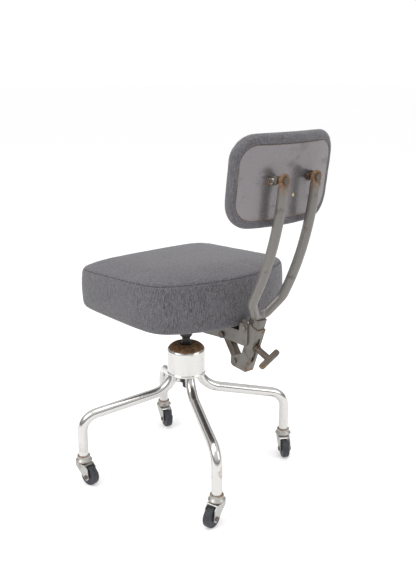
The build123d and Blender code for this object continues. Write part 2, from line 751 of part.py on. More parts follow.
tab_plane = arm_top_plane(1)
tab_bolt_centre = tab_plane.origin + tab_plane.z_dir * (TAB_LENGTH - TAB_WIDTH / 2)
block_front = tab_bolt_centre - tab_plane.y_dir * (TAB_THICKNESS / 2)


def build_hinge_block():
    """Knuckle with a square foot that is bolted to the front of the flattened tube end."""
    block_plane = Plane(origin=block_front, x_dir=(1, 0, 0), z_dir=-tab_plane.y_dir)
    with BuildPart() as block:
        with BuildSketch(block_plane):
            Rectangle(KNUCKLE_WIDTH, 12)
        extrude(amount=6)
        with BuildSketch(Plane.YZ.offset(KNUCKLE_OUTER_X - KNUCKLE_WIDTH)):
            with Locations(PIVOT):
                Circle(KNUCKLE_R)
        extrude(amount=KNUCKLE_WIDTH)
        with BuildSketch(Plane.YZ.offset(KNUCKLE_OUTER_X - KNUCKLE_WIDTH)):
            with Locations(PIVOT):
                Circle(PIVOT_BOLT_R + RUNNING_FIT)
        extrude(amount=KNUCKLE_WIDTH, mode=Mode.SUBTRACT)
    return block.part


mirrored("hinge_block", build_hinge_block)

with BuildPart() as tab_bolts:
    for side in (-1, 1):
        centre = arm_top_plane(side).origin + arm_top_plane(side).z_dir * (TAB_LENGTH - TAB_WIDTH / 2)
        rear_face = centre + tab_plane.y_dir * (TAB_THICKNESS / 2)
        with BuildSketch(Plane(origin=rear_face, x_dir=(1, 0, 0), z_dir=tab_plane.y_dir)):
            RegularPolygon(6.6, 6)
        extrude(amount=4.6)
save(tab_bolts.part, "tab_bolts")


BRACKET_HALF_ARC = degrees(asin((KNUCKLE_OUTER_X + 8) / BACKREST_R))


def build_bracket():
    """Curved foot riveted to the back plate with one ear standing beside the knuckle."""
    ear_x = KNUCKLE_OUTER_X + 0.4
    foot_half_height = 8.5
    with BuildPart() as bracket:
        with BuildSketch(backrest_plane.offset(-foot_half_height + PIVOT[1] - BACKREST_CENTRE[1])):
            add(arc_band(BACKREST_R + BRACKET_PLATE, BACKREST_R, BRACKET_HALF_ARC))
            make_face()
        extrude(amount=2 * foot_half_height)
        with BuildSketch(Plane.YZ):
            Rectangle(2000, 2000)
        extrude(amount=ear_x - 2, mode=Mode.SUBTRACT)
        with BuildSketch(Plane.YZ):
            Rectangle(2000, 2000)
        extrude(amount=-400, mode=Mode.SUBTRACT)
        with BuildSketch(Plane.YZ.offset(ear_x)):
            with Locations(PIVOT):
                Circle(8.5)
            with Locations((PIVOT[0] - 6.5, PIVOT[1])):
                Rectangle(9, 17)
        extrude(amount=EAR_PLATE)
        with BuildSketch(Plane.YZ.offset(ear_x)):
            with Locations(PIVOT):
                Circle(PIVOT_BOLT_R)
        extrude(amount=EAR_PLATE, mode=Mode.SUBTRACT)
        with BuildSketch(backrest_plane.offset(-60)):
            add(arc_band(BACKREST_R, BACKREST_R - 30, PLATE_HALF_ARC))
            make_face()
        extrude(amount=120, mode=Mode.SUBTRACT)
    return bracket.part


mirrored("back_bracket", build_bracket)


def build_pivot_bolt():
    """Cross bolt through the knuckle, held tight in the ear."""
    with BuildPart() as bolt:
        with BuildSketch(Plane.YZ.offset(KNUCKLE_OUTER_X - KNUCKLE_WIDTH - 0.4)):
            with Locations(PIVOT):
                Circle(PIVOT_BOLT_R)
        extrude(amount=KNUCKLE_WIDTH + 0.8 + EAR_PLATE + 8)
        with BuildSketch(Plane.YZ.offset(KNUCKLE_OUTER_X - KNUCKLE_WIDTH - 0.4)):
            with Locations(PIVOT):
                Circle(5.6)
        extrude(amount=-3.4)
    return bolt.part


mirrored_pair("pivot_bolts", build_pivot_bolt)


def build_pivot_nut():
    """Chrome domed nut outside the ear."""
    with BuildPart() as nut:
        with BuildSketch(Plane.YZ.offset(KNUCKLE_OUTER_X + 0.4 + EAR_PLATE)):
            with Locations(PIVOT):
                RegularPolygon(6.4, 6)
                Circle(PIVOT_BOLT_R, mode=Mode.SUBTRACT)
        extrude(amount=6)
    return nut.part


mirrored_pair("pivot_nuts", build_pivot_nut)


# ---------------------------------------------------------------- casters
STEM_TOP_Z = 96.0
COLLAR_BOTTOM = FORK_CROWN_Z + 2.0
SOCKET_OUTER_R = LEG_TUBE_D / 2 - LEG_WALL


def leg_foot(angle):
    return (LEG_CIRCLE_R * cos(radians(angle)), LEG_CIRCLE_R * sin(radians(angle)), 0)


with BuildPart() as caster_collars:
    for leg_angle in LEG_ANGLES:
        foot_point = leg_foot(leg_angle)
        with BuildSketch(Plane(origin=foot_point, x_dir=(1, 0, 0), z_dir=(0, -1, 0))):
            Polygon(
                (CASTER_STEM_R + RUNNING_FIT, COLLAR_BOTTOM),
                (15.0, COLLAR_BOTTOM),
                (18.2, COLLAR_BOTTOM + 3.0),
                (18.2, COLLAR_BOTTOM + 4.6),
                (14.2, COLLAR_BOTTOM + 9.5),
                (14.2, LEG_BOTTOM_Z + 4),
                (LEG_TUBE_D / 2, LEG_BOTTOM_Z + 5),
                (LEG_TUBE_D / 2, LEG_BOTTOM_Z),
                (CASTER_STEM_R + RUNNING_FIT, LEG_BOTTOM_Z),
                align=None,
            )
        revolve(axis=Axis(foot_point, (0, 0, 1)))
save(caster_collars.part, "caster_collars")


def make_stem(number, foot):
    """Stem with the flange that runs under the collar."""
    with BuildPart() as stem:
        with BuildSketch(Plane(origin=foot).offset(FORK_CROWN_Z)):
            Circle(12.0)
        extrude(amount=1.7)
        with BuildSketch(Plane(origin=foot).offset(FORK_CROWN_Z)):
            Circle(CASTER_STEM_R)
        extrude(amount=STEM_TOP_Z - FORK_CROWN_Z)
    save(stem.part, "caster_stem_" + str(number))


def make_fork(number, foot, heading):
    """Bent sheet fork: a crown over the wheel and two arms down to the axle."""
    a = radians(heading)
    side_view = Plane(origin=foot, x_dir=(cos(a), sin(a), 0), z_dir=(sin(a), -cos(a), 0))
    inner = FORK_WIDTH / 2 - FORK_THICKNESS
    with BuildPart() as fork:
        with BuildSketch(side_view.offset(-FORK_WIDTH / 2)):
            with BuildLine():
                Polyline(
                    (-13, FORK_CROWN_Z),
                    (-13, FORK_CROWN_Z - 7),
                    (CASTER_TRAIL - 7.6, WHEEL_R - 2.5),
                )
                ThreePointArc(
                    (CASTER_TRAIL - 7.6, WHEEL_R - 2.5),
                    (CASTER_TRAIL, WHEEL_R - 8),
                    (CASTER_TRAIL + 7.6, WHEEL_R - 2.5),
                )
                Polyline(
                    (CASTER_TRAIL + 7.6, WHEEL_R - 2.5),
                    (CASTER_TRAIL + 5, FORK_CROWN_Z - 8),
                    (CASTER_TRAIL - 3, FORK_CROWN_Z),
                    (-13, FORK_CROWN_Z),
                )
            make_face()
        extrude(amount=FORK_WIDTH)
        with BuildSketch(side_view.offset(-inner)):
            with Locations((0, FORK_CROWN_Z - FORK_THICKNESS)):
                Rectangle(120, 80, align=(Align.CENTER, Align.MAX))
        extrude(amount=2 * inner, mode=Mode.SUBTRACT)
        with BuildSketch(side_view.offset(-FORK_WIDTH / 2)):
            with Locations((CASTER_TRAIL, WHEEL_R)):
                Circle(AXLE_R)
        extrude(amount=FORK_WIDTH, mode=Mode.SUBTRACT)
    save(fork.part, "caster_fork_" + str(number))
    return side_view


def make_wheel(number, side_view):
    """Moulded rubber wheel with a rounded tread and a raised hub on each face."""
    with BuildPart() as wheel:
        with BuildSketch(side_view.offset(-WHEEL_TREAD / 2)):
            with Locations((CASTER_TRAIL, WHEEL_R)):
                Circle(WHEEL_R)
        extrude(amount=WHEEL_TREAD)
        fillet(wheel.edges(), radius=3.0)
        with BuildSketch(side_view.offset(-WHEEL_HUB_WIDTH / 2)):
            with Locations((CASTER_TRAIL, WHEEL_R)):
                Circle(7.0)
        extrude(amount=WHEEL_HUB_WIDTH)
        with BuildSketch(side_view.offset(-WHEEL_HUB_WIDTH / 2)):
            with Locations((CASTER_TRAIL, WHEEL_R)):
                Circle(AXLE_R + RUNNING_FIT)
        extrude(amount=WHEEL_HUB_WIDTH, mode=Mode.SUBTRACT)
    save(wheel.part, "caster_wheel_" + str(number))


def make_axle(number, side_view):
    """Axle rivet with a turned-over head outside each arm."""
    with BuildPart() as axle:
        with BuildSketch(side_view.offset(-FORK_WIDTH / 2)):
            with Locations((CASTER_TRAIL, WHEEL_R)):
                Circle(AXLE_R)
        extrude(amount=FORK_WIDTH)
        for side in (-1, 1):
            with BuildSketch(side_view.offset(side * FORK_WIDTH / 2)):
                with Locations((CASTER_TRAIL, WHEEL_R)):
                    Circle(5.0)
            extrude(amount=side * 2.0)
    save(axle.part, "caster_axle_" + str(number))


for index, leg_angle in enumerate(LEG_ANGLES):
    foot_point = leg_foot(leg_angle)
    make_stem(index + 1, foot_point)
    caster_side_view = make_fork(index + 1, foot_point, CASTER_HEADINGS[index])
    make_wheel(index + 1, caster_side_view)
    make_axle(index + 1, caster_side_view)

with BuildPart() as caster_sockets:
    for leg_angle in LEG_ANGLES:
        with BuildSketch(Plane(origin=leg_foot(leg_angle)).offset(LEG_BOTTOM_Z)):
            Circle(SOCKET_OUTER_R)
            Circle(CASTER_STEM_R + RUNNING_FIT, mode=Mode.SUBTRACT)
        extrude(amount=34)
save(caster_sockets.part, "caster_sockets")
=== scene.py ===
# %% [markdown]
# # A swivel posture chair, finished in Blender
# The chair's metalwork arrives as an exact engineering model. This lesson dresses it: the steel
# parts keep their shapes and get aged finishes, and the two cushions are remade as real upholstery.

# %% Open the frame
import math

import bmesh
import bpy
import numpy as np
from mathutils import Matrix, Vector, kdtree


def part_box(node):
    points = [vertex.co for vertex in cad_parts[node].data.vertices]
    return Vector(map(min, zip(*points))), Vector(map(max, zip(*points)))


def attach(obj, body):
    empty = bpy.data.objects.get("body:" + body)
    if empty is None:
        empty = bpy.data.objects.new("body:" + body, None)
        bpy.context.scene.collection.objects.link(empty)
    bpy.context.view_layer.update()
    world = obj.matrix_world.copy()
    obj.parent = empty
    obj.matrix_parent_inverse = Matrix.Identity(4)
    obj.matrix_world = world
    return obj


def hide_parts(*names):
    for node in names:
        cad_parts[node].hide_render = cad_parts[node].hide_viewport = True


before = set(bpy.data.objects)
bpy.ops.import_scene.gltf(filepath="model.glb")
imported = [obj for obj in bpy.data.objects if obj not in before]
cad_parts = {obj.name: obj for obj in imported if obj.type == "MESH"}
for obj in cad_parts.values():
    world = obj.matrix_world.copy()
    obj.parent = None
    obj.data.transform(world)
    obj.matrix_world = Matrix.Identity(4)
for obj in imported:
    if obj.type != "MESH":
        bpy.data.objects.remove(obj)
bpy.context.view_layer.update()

# %% [markdown]
# ## The camera
# The chair is seen from behind and a little above, from a step or two away. A lens of about
# 47 mm keeps the perspective natural. The camera is placed by distance and not by zoom.

# %% Place the camera
CAMERA_PLACE = (0.98425, 1.24828, 0.8915)
CAMERA_TILT = 16.4
CAMERA_HEADING = 140.0
CAMERA_LENS = 47.1

camera_data = bpy.data.cameras.new("camera")
camera_data.lens = CAMERA_LENS
camera_data.sensor_width = 36.0
camera = bpy.data.objects.new("camera", camera_data)
camera.location = CAMERA_PLACE
camera.rotation_euler = (math.radians(90 - CAMERA_TILT), 0, math.radians(CAMERA_HEADING))
bpy.context.scene.collection.objects.link(camera)
bpy.context.scene.camera = camera

# %% [markdown]
# ## A little kit for shader nodes
# Every finish below is a small network of nodes. One helper adds a node, sets its switches and
# either types a value into each input or runs a wire to it, which keeps the recipes short.

# %% Node helpers
def wire(tree, kind, switches=None, **values):
    """Add a shader node. A key such as in2 means the third input, other keys are input names."""
    made = tree.nodes.new("ShaderNode" + kind)
    for key, value in (switches or {}).items():
        setattr(made, key, value)
    for key, value in values.items():
        by_number = key.startswith("in") and key[2:].isdigit()
        socket = made.inputs[int(key[2:])] if by_number else made.inputs[key.replace("_", " ")]
        if isinstance(value, bpy.types.NodeSocket):
            tree.links.new(value, socket)
        else:
            socket.default_value = value
    return made


def sums(tree, operation, first, second=0.0):
    return wire(tree, "Math", {"operation": operation}, in0=first, in1=second).outputs[0]


def blend_colour(tree, amount, under, over):
    mix = wire(tree, "Mix", {"data_type": "RGBA"}, in0=amount, in6=under, in7=over)
    return mix.outputs[2]


def ramp(tree, value, low, high, start=0.0, end=1.0):
    """Stretch low..high onto start..end with soft shoulders."""
    made = wire(tree, "MapRange", {"interpolation_type": "SMOOTHSTEP"}, Value=value)
    for key, number in (("From Min", low), ("From Max", high), ("To Min", start), ("To Max", end)):
        if isinstance(number, bpy.types.NodeSocket):
            tree.links.new(number, made.inputs[key])
        else:
            made.inputs[key].default_value = number
    return made.outputs[0]


def new_group(name, inputs, outputs):
    """Start a shader group with named sockets and return it with its two ends."""
    tree = bpy.data.node_groups.new(name, "ShaderNodeTree")
    for label, kind, default in inputs:
        socket = tree.interface.new_socket(label, in_out="INPUT", socket_type=kind)
        socket.default_value = default
    for label, kind in outputs:
        tree.interface.new_socket(label, in_out="OUTPUT", socket_type=kind)
    return tree, tree.nodes.new("NodeGroupInput"), tree.nodes.new("NodeGroupOutput")


def use_group(tree, group, **values):
    made = tree.nodes.new("ShaderNodeGroup")
    made.node_tree = group
    for key, value in values.items():
        socket = made.inputs[key.replace("_", " ")]
        if isinstance(value, bpy.types.NodeSocket):
            tree.links.new(value, socket)
        else:
            socket.default_value = value
    return made


# %% [markdown]
# ## Effects shared by many finishes
# Stains and rust come in patches of every size, so one group turns layered noise into a mask. The
# paint on a bent or folded part wears first along its edges, so a second group compares the true
# surface with a slightly rounded copy of it: where they differ there is an edge.

# %% Patches and worn edges
FLOAT = "NodeSocketFloat"
COLOUR = "NodeSocketColor"
NOISE_FOR_NONE = 0.70
NOISE_FOR_ALL = 0.36
EDGE_RADIUS = 0.002
EDGE_START, EDGE_FULL = 0.015, 0.10

patches, patch_in, patch_out = new_group(
    "patches",
    [("Scale", FLOAT, 40.0), ("Amount", FLOAT, 0.3), ("Softness", FLOAT, 0.08),
     ("Stretch", FLOAT, 1.0)],
    [("Mask", FLOAT)],
)
place = wire(patches, "TexCoord").outputs["Object"]
squeeze = wire(patches, "CombineXYZ", X=1.0, Y=1.0, Z=patch_in.outputs["Stretch"]).outputs[0]
stretched = wire(patches, "VectorMath", {"operation": "MULTIPLY"}, in0=place, in1=squeeze)
cloud = wire(
    patches, "TexNoise", Vector=stretched.outputs[0], Scale=patch_in.outputs["Scale"],
    Detail=6.0, Roughness=0.62,
).outputs["Fac"]
threshold = ramp(patches, patch_in.outputs["Amount"], 0.0, 1.0, NOISE_FOR_NONE, NOISE_FOR_ALL)
upper = sums(patches, "ADD", threshold, patch_in.outputs["Softness"])
patches.links.new(ramp(patches, cloud, threshold, upper), patch_out.inputs["Mask"])

worn_edges, edge_in, edge_out = new_group(
    "worn_edges", [("Amount", FLOAT, 0.5)], [("Mask", FLOAT)]
)
rounded = wire(worn_edges, "Bevel", {"samples": 4}, Radius=EDGE_RADIUS).outputs[0]
true_normal = wire(worn_edges, "NewGeometry").outputs["True Normal"]
match = wire(worn_edges, "VectorMath", {"operation": "DOT_PRODUCT"}, in0=rounded, in1=true_normal)
turned = sums(worn_edges, "SUBTRACT", 1.0, match.outputs["Value"])
edge_place = wire(worn_edges, "TexCoord").outputs["Object"]
edge_noise = wire(worn_edges, "TexNoise", Vector=edge_place, Scale=110.0, Detail=4.0).outputs["Fac"]
edge_strength = sums(worn_edges, "MULTIPLY", turned, sums(worn_edges, "MULTIPLY", edge_noise, 2.4))
edge_mask = ramp(worn_edges, edge_strength, EDGE_START, EDGE_FULL)
worn_edges.links.new(
    sums(worn_edges, "MULTIPLY", edge_mask, edge_in.outputs["Amount"]), edge_out.inputs["Mask"]
)

# %% [markdown]
# Metal parts of an old chair share one story: a skin of paint or plating, duller stains in it, and
# rust where the skin has failed. One recipe tells it, and each part chooses its colours and how
# far things have gone. A level band adds rust above or below a given height, for the places
# where water sat.

# %% The aged metal recipe
RUST = (0.110, 0.052, 0.022, 1)
RUST_LIGHT = (0.235, 0.130, 0.060, 1)
RUST_ROUGHNESS = 0.82
BAND_WAVES = 0.008
SKIN_RELIEF = 0.0006


def aged_metal(name, skin, stain, metallic, roughness, stain_amount=0.45, rust_amount=0.15,
               edge_amount=0.3, rust_scale=55.0, pits=0.15, band=None, band_strength=1.0):
    """Skin over stains over rust. The band is a pair of heights: rust grows from first to second."""
    made = bpy.data.materials.new(name)
    made.use_nodes = True
    tree = made.node_tree
    tree.nodes.clear()
    where = wire(tree, "TexCoord").outputs["Object"]
    stains = use_group(tree, patches, Scale=34.0, Amount=stain_amount, Softness=0.16).outputs[0]
    base = blend_colour(tree, stains, skin, stain)
    rusty = use_group(tree, patches, Scale=rust_scale, Amount=rust_amount, Softness=0.06).outputs[0]
    specks = use_group(tree, patches, Scale=420.0, Amount=pits, Softness=0.05).outputs[0]
    edges = use_group(tree, worn_edges, Amount=edge_amount).outputs[0]
    failed = sums(tree, "MAXIMUM", sums(tree, "MAXIMUM", rusty, specks), edges)
    if band:
        height = wire(tree, "SeparateXYZ", in0=where).outputs["Z"]
        wobble = wire(tree, "TexNoise", Vector=where, Scale=70.0, Detail=5.0).outputs["Fac"]
        waves = sums(tree, "MULTIPLY", sums(tree, "SUBTRACT", wobble, 0.5), BAND_WAVES)
        wavy = sums(tree, "ADD", height, waves)
        low, high = min(band), max(band)
        ends = (0.0, band_strength) if band[1] > band[0] else (band_strength, 0.0)
        failed = sums(tree, "MAXIMUM", failed, ramp(tree, wavy, low, high, *ends))
    tone = wire(tree, "TexNoise", Vector=where, Scale=160.0, Detail=5.0).outputs["Fac"]
    rust_colour = blend_colour(tree, ramp(tree, tone, 0.35, 0.68), RUST, RUST_LIGHT)
    colour = blend_colour(tree, failed, base, rust_colour)
    grain = wire(tree, "TexNoise", Vector=where, Scale=900.0, Detail=2.0).outputs["Fac"]
    fine, coarse = sums(tree, "MULTIPLY", grain, 0.12), sums(tree, "MULTIPLY", failed, tone)
    relief = sums(tree, "ADD", fine, coarse)
    bump = wire(tree, "Bump", Strength=0.25, Distance=SKIN_RELIEF, Height=relief).outputs[0]
    shine = ramp(tree, failed, 0.0, 1.0, roughness, RUST_ROUGHNESS)
    dulled = sums(tree, "ADD", shine, sums(tree, "MULTIPLY", stains, 0.10))
    bare = ramp(tree, failed, 0.0, 1.0, metallic, 0.0)
    shader = wire(
        tree, "BsdfPrincipled", Base_Color=colour, Roughness=dulled, Metallic=bare, Normal=bump
    )
    tree.links.new(shader.outputs[0], wire(tree, "OutputMaterial").inputs[0])
    return made


chrome = aged_metal(
    "leg_chrome", (0.60, 0.588, 0.572, 1), (0.40, 0.355, 0.31, 1), 1.0, 0.19,
    stain_amount=0.45, rust_amount=0.05, edge_amount=0.0, pits=0.08,
    band=(0.238, 0.262), band_strength=0.55,
)
hood_chrome = aged_metal(
    "hood_chrome", (0.60, 0.59, 0.57, 1), (0.41, 0.37, 0.325, 1), 1.0, 0.21,
    stain_amount=0.42, rust_amount=0.08, edge_amount=0.5, pits=0.10, band=(0.2925, 0.2965),
)
worn_paint = aged_metal(
    "worn_grey_paint", (0.146, 0.137, 0.125, 1), (0.068, 0.059, 0.050, 1), 0.3, 0.38,
    stain_amount=0.5, rust_amount=0.34, edge_amount=0.95, pits=0.30,
)
tube_paint = aged_metal(
    "tube_grey_paint", (0.165, 0.157, 0.146, 1), (0.080, 0.071, 0.062, 1), 0.35, 0.31,
    stain_amount=0.45, rust_amount=0.20, edge_amount=0.4, pits=0.28,
    band=(0.672, 0.704), band_strength=0.9,
)
rusty_steel = aged_metal(
    "rusty_steel", (0.105, 0.086, 0.070, 1), (0.070, 0.048, 0.033, 1), 0.55, 0.46,
    stain_amount=0.6, rust_amount=0.38, edge_amount=0.5, pits=0.30,
)
dark_steel = aged_metal(
    "oiled_dark_steel", (0.030, 0.029, 0.031, 1), (0.050, 0.042, 0.036, 1), 0.6, 0.38,
    stain_amount=0.5, rust_amount=0.05, edge_amount=0.2, pits=0.06,
)
bright_steel = aged_metal(
    "bright_steel", (0.66, 0.65, 0.62, 1), (0.46, 0.42, 0.36, 1), 1.0, 0.20,
    stain_amount=0.4, rust_amount=0.08, edge_amount=0.2, pits=0.12,
)
zinc = aged_metal(
    "dull_zinc", (0.47, 0.465, 0.45, 1), (0.33, 0.31, 0.28, 1), 0.8, 0.40,
    stain_amount=0.5, rust_amount=0.12, edge_amount=0.2, pits=0.16,
)
collar_zinc = aged_metal(
    "collar_zinc", (0.40, 0.39, 0.37, 1), (0.27, 0.24, 0.20, 1), 0.8, 0.38,
    stain_amount=0.5, rust_amount=0.15, edge_amount=0.4, pits=0.2,
    band=(0.0625, 0.0665), band_strength=0.8,
)
print("metal finishes:", len(bpy.data.materials))

# %% [markdown]
# ## The back plate's satin paint
# The curved plate behind the cushion is sprayed, not plated. It is nearly clean in the middle and
# has small rust specks where the cloth held damp against its rim, so its rust is stronger low
# down.

# %% Plate paint
plate_paint = aged_metal(
    "plate_satin_paint", (0.205, 0.191, 0.199, 1), (0.160, 0.147, 0.152, 1), 0.45, 0.27,
    stain_amount=0.5, rust_amount=0.12, edge_amount=0.8, rust_scale=130.0, pits=0.14,
    band=(0.642, 0.628), band_strength=0.35,
)

# %% [markdown]
# ## Rubber and plywood
# The wheels are hard moulded rubber, blue-black and dusty, with pale scuffs. The hidden seat
# board is plywood, whose bands are a noise squeezed in height, and the same recipe with finer
# marks gives the pale board behind the back plate.

# %% Rubber and plywood
def plain_finish(name, dark, light, roughness, scale, amount, stretch, bump_height):
    """Two tones mixed by patches, with fine relief."""
    made = bpy.data.materials.new(name)
    made.use_nodes = True
    tree = made.node_tree
    tree.nodes.clear()
    marks = use_group(
        tree, patches, Scale=scale, Amount=amount, Softness=0.16, Stretch=stretch
    ).outputs[0]
    fine = use_group(tree, patches, Scale=600.0, Amount=0.6, Softness=0.3).outputs[0]
    lightened = sums(tree, "MAXIMUM", marks, sums(tree, "MULTIPLY", fine, 0.12))
    colour = blend_colour(tree, lightened, dark, light)
    relief = sums(tree, "ADD", sums(tree, "MULTIPLY", marks, 0.5), fine)
    bump = wire(tree, "Bump", Strength=0.3, Distance=bump_height, Height=relief).outputs[0]
    rough = ramp(tree, marks, 0.0, 1.0, roughness, roughness + 0.2)
    shader = wire(tree, "BsdfPrincipled", Base_Color=colour, Roughness=rough, Normal=bump)
    tree.links.new(shader.outputs[0], wire(tree, "OutputMaterial").inputs[0])
    return made


rubber = plain_finish(
    "scuffed_rubber", (0.026, 0.029, 0.036, 1), (0.190, 0.165, 0.130, 1),
    roughness=0.55, scale=95.0, amount=0.32, stretch=1.0, bump_height=0.0004,
)
plywood = plain_finish(
    "plywood_board", (0.330, 0.215, 0.120, 1), (0.470, 0.330, 0.195, 1),
    roughness=0.6, scale=18.0, amount=0.5, stretch=8.0, bump_height=0.0003,
)
pale_board = plain_finish(
    "pale_board", (0.62, 0.50, 0.30, 1), (0.80, 0.70, 0.48, 1),
    roughness=0.6, scale=300.0, amount=0.5, stretch=4.0, bump_height=0.0002,
)

# %% [markdown]
# ## The woven cloth
# The cover is a heathered grey tweed: violet-grey yarns, some darker and some paler, woven finely
# enough to read as upright lines on the sides of the seat and as a soft speckle on top. A fine
# noise drawn out upwards gives exactly that change, and plain waves along the three axes give the
# weave its relief.

# %% Cloth recipe
UPRIGHT_YARNS = (1.0, 1.0, 0.10)
WEAVE_RADIANS = 3600.0
CLOTH_THREAD = 0.0014
CLOTH_RELIEF = 0.0006

woven, woven_in, woven_out = new_group(
    "woven_cloth",
    [("Dark", COLOUR, (0.12, 0.11, 0.13, 1)), ("Middle", COLOUR, (0.2, 0.19, 0.22, 1)),
     ("Light", COLOUR, (0.3, 0.29, 0.32, 1)), ("Thread", FLOAT, 0.0011)],
    [("Colour", COLOUR), ("Height", FLOAT)],
)
cloth_place = wire(woven, "TexCoord").outputs["Object"]
count = sums(woven, "DIVIDE", 1.0, woven_in.outputs["Thread"])
drawn_out = wire(
    woven, "VectorMath", {"operation": "MULTIPLY"}, in0=cloth_place, in1=UPRIGHT_YARNS
).outputs[0]
yarn = wire(woven, "TexNoise", Vector=drawn_out, Scale=count, Detail=2.0, Roughness=0.6)
yarn = yarn.outputs["Fac"]
fleck_count = sums(woven, "MULTIPLY", count, 0.45)
fleck = wire(woven, "TexNoise", Vector=cloth_place, Scale=fleck_count, Detail=3.0).outputs["Fac"]
cloudy = wire(woven, "TexNoise", Vector=cloth_place, Scale=22.0, Detail=4.0).outputs["Fac"]
tone_one = blend_colour(
    woven, ramp(woven, yarn, 0.28, 0.68), woven_in.outputs["Dark"], woven_in.outputs["Middle"]
)
flecks = ramp(woven, fleck, 0.48, 0.75, 0.0, 0.5)
tone_two = blend_colour(woven, flecks, tone_one, woven_in.outputs["Light"])
shade = ramp(woven, cloudy, 0.3, 0.7, 0.0, 0.35)
cloth_colour = blend_colour(woven, shade, tone_two, woven_in.outputs["Middle"])
woven.links.new(cloth_colour, woven_out.inputs["Colour"])
across = wire(woven, "SeparateXYZ", in0=cloth_place)
ridge_x, ridge_y, ridge_z = (
    sums(woven, "SINE", sums(woven, "MULTIPLY", across.outputs[axis], WEAVE_RADIANS))
    for axis in "XYZ"
)
ridges = sums(woven, "ADD", sums(woven, "ADD", ridge_x, ridge_y), ridge_z)
ridges = sums(woven, "MULTIPLY", ridges, 0.12)
woven.links.new(sums(woven, "ADD", yarn, ridges), woven_out.inputs["Height"])


def cloth_finish(name, dark, middle, light, sheen):
    made = bpy.data.materials.new(name)
    made.use_nodes = True
    tree = made.node_tree
    tree.nodes.clear()
    cover = use_group(tree, woven, Dark=dark, Middle=middle, Light=light, Thread=CLOTH_THREAD)
    bump = wire(
        tree, "Bump", Strength=0.45, Distance=CLOTH_RELIEF, Height=cover.outputs["Height"]
    ).outputs[0]
    shader = wire(
        tree, "BsdfPrincipled", Base_Color=cover.outputs["Colour"], Roughness=0.88,
        Sheen_Weight=sheen, Sheen_Roughness=0.45, Normal=bump,
    )
    shader.inputs["Specular IOR Level"].default_value = 0.2
    tree.links.new(shader.outputs[0], wire(tree, "OutputMaterial").inputs[0])
    return made


tweed = cloth_finish(
    "grey_tweed", (0.052, 0.050, 0.055, 1), (0.130, 0.125, 0.134, 1), (0.250, 0.242, 0.254, 1),
    sheen=0.22,
)
seam_cloth = cloth_finish(
    "seam_cord", (0.034, 0.032, 0.037, 1), (0.060, 0.057, 0.065, 1), (0.10, 0.096, 0.107, 1),
    sheen=0.1,
)

# %% [markdown]
# ## Dressing the engineering model
# Each steel part keeps its own shape and only changes its finish. A short list says which part
# wears what, by the beginning of its name.

# %% Give every steel part its finish
FINISHES = [
    (chrome, ["leg_"]),
    (hood_chrome, ["hub_hood"]),
    (dark_steel, ["hub_core", "hub_plate", "spindle_", "caster_sockets"]),
    (bright_steel, ["bearing_", "pivot_nuts"]),
    (rusty_steel, ["brace_", "t_", "tab_bolts", "hinge_block",
                   "pivot_bolts", "seat_bolts", "caster_axle"]),
    (worn_paint, ["seat_iron", "seat_arm", "upright", "back_post", "brace_pin", "back_bracket"]),
    (tube_paint, ["u_tube"]),
    (plate_paint, ["back_plate"]),
    (collar_zinc, ["caster_collars"]),
    (zinc, ["caster_stem", "caster_fork"]),
    (rubber, ["caster_wheel"]),
    (plywood, ["seat_pan"]),
]
dressed = set()
for finish, starts in FINISHES:
    for node_name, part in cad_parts.items():
        if any(node_name.startswith(start) for start in starts):
            part.data.materials.clear()
            part.data.materials.append(finish)
            dressed.add(node_name)
print("still to dress:", sorted(set(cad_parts) - dressed))

# %% [markdown]
# ## Turning rings into a closed skin
# Both cushions start as rings: closed loops of the same number of points, from the middle of the
# underside, out round the edge and back to the middle of the top. Joining neighbouring loops
# with quads and closing both ends gives a watertight form that is easy to reason about.

# %% Ring skin helper
def skin_from_rings(name, rings):
    """Join rings of equal length with quads and close the two ends."""
    shape = bmesh.new()
    loops = [[shape.verts.new(point) for point in ring] for ring in rings]
    count_around = len(rings[0])
    for lower, upper in zip(loops, loops[1:]):
        for i in range(count_around):
            j = (i + 1) % count_around
            shape.faces.new((lower[i], lower[j], upper[j], upper[i]))
    shape.faces.new(list(reversed(loops[0])))
    shape.faces.new(loops[-1])
    bmesh.ops.recalc_face_normals(shape, faces=shape.faces)
    mesh = bpy.data.meshes.new(name)
    shape.to_mesh(mesh)
    shape.free()
    made = bpy.data.objects.new(name, mesh)
    bpy.context.scene.collection.objects.link(made)
    return made


def rounded_loop(corners, radius_steps, count_around):
    """Resample a closed loop of points evenly and round its corners by averaging neighbours."""
    points = np.array(corners + corners[:1], float)
    lengths = np.concatenate([[0], np.cumsum(np.linalg.norm(np.diff(points, axis=0), axis=1))])
    even = np.linspace(0, lengths[-1], count_around, endpoint=False)
    loop = np.stack([np.interp(even, lengths, points[:, k]) for k in (0, 1)], axis=1)
    for _ in range(radius_steps):
        loop = 0.25 * np.roll(loop, 1, 0) + 0.5 * loop + 0.25 * np.roll(loop, -1, 0)
    return loop


def outward_step(loop):
    """Unit vectors pointing out of a loop that runs anticlockwise."""
    along_loop = np.roll(loop, -1, 0) - np.roll(loop, 1, 0)
    along_loop /= np.linalg.norm(along_loop, axis=1)[:, None]
    return np.stack([along_loop[:, 1], -along_loop[:, 0]], axis=1)


# %% [markdown]
# ## Stuffing by simulation
# Upholstery looks soft because the cover is stretched over something that pushes back. The skin
# is rebuilt with even squares, handed to the cloth solver with a little inner pressure and no
# gravity, and held where the real cover is sewn or tacked. Only a limited part of the movement is
# kept, so the cushion stays the size that was measured.

# %% Cloth helper
SIM_FRAMES = 20


def all_points(mesh):
    flat = np.empty(len(mesh.vertices) * 3, np.float64)
    mesh.vertices.foreach_get("co", flat)
    return flat.reshape(-1, 3)


def write_points(mesh, points):
    mesh.vertices.foreach_set("co", points.astype(np.float32).ravel())
    mesh.update()


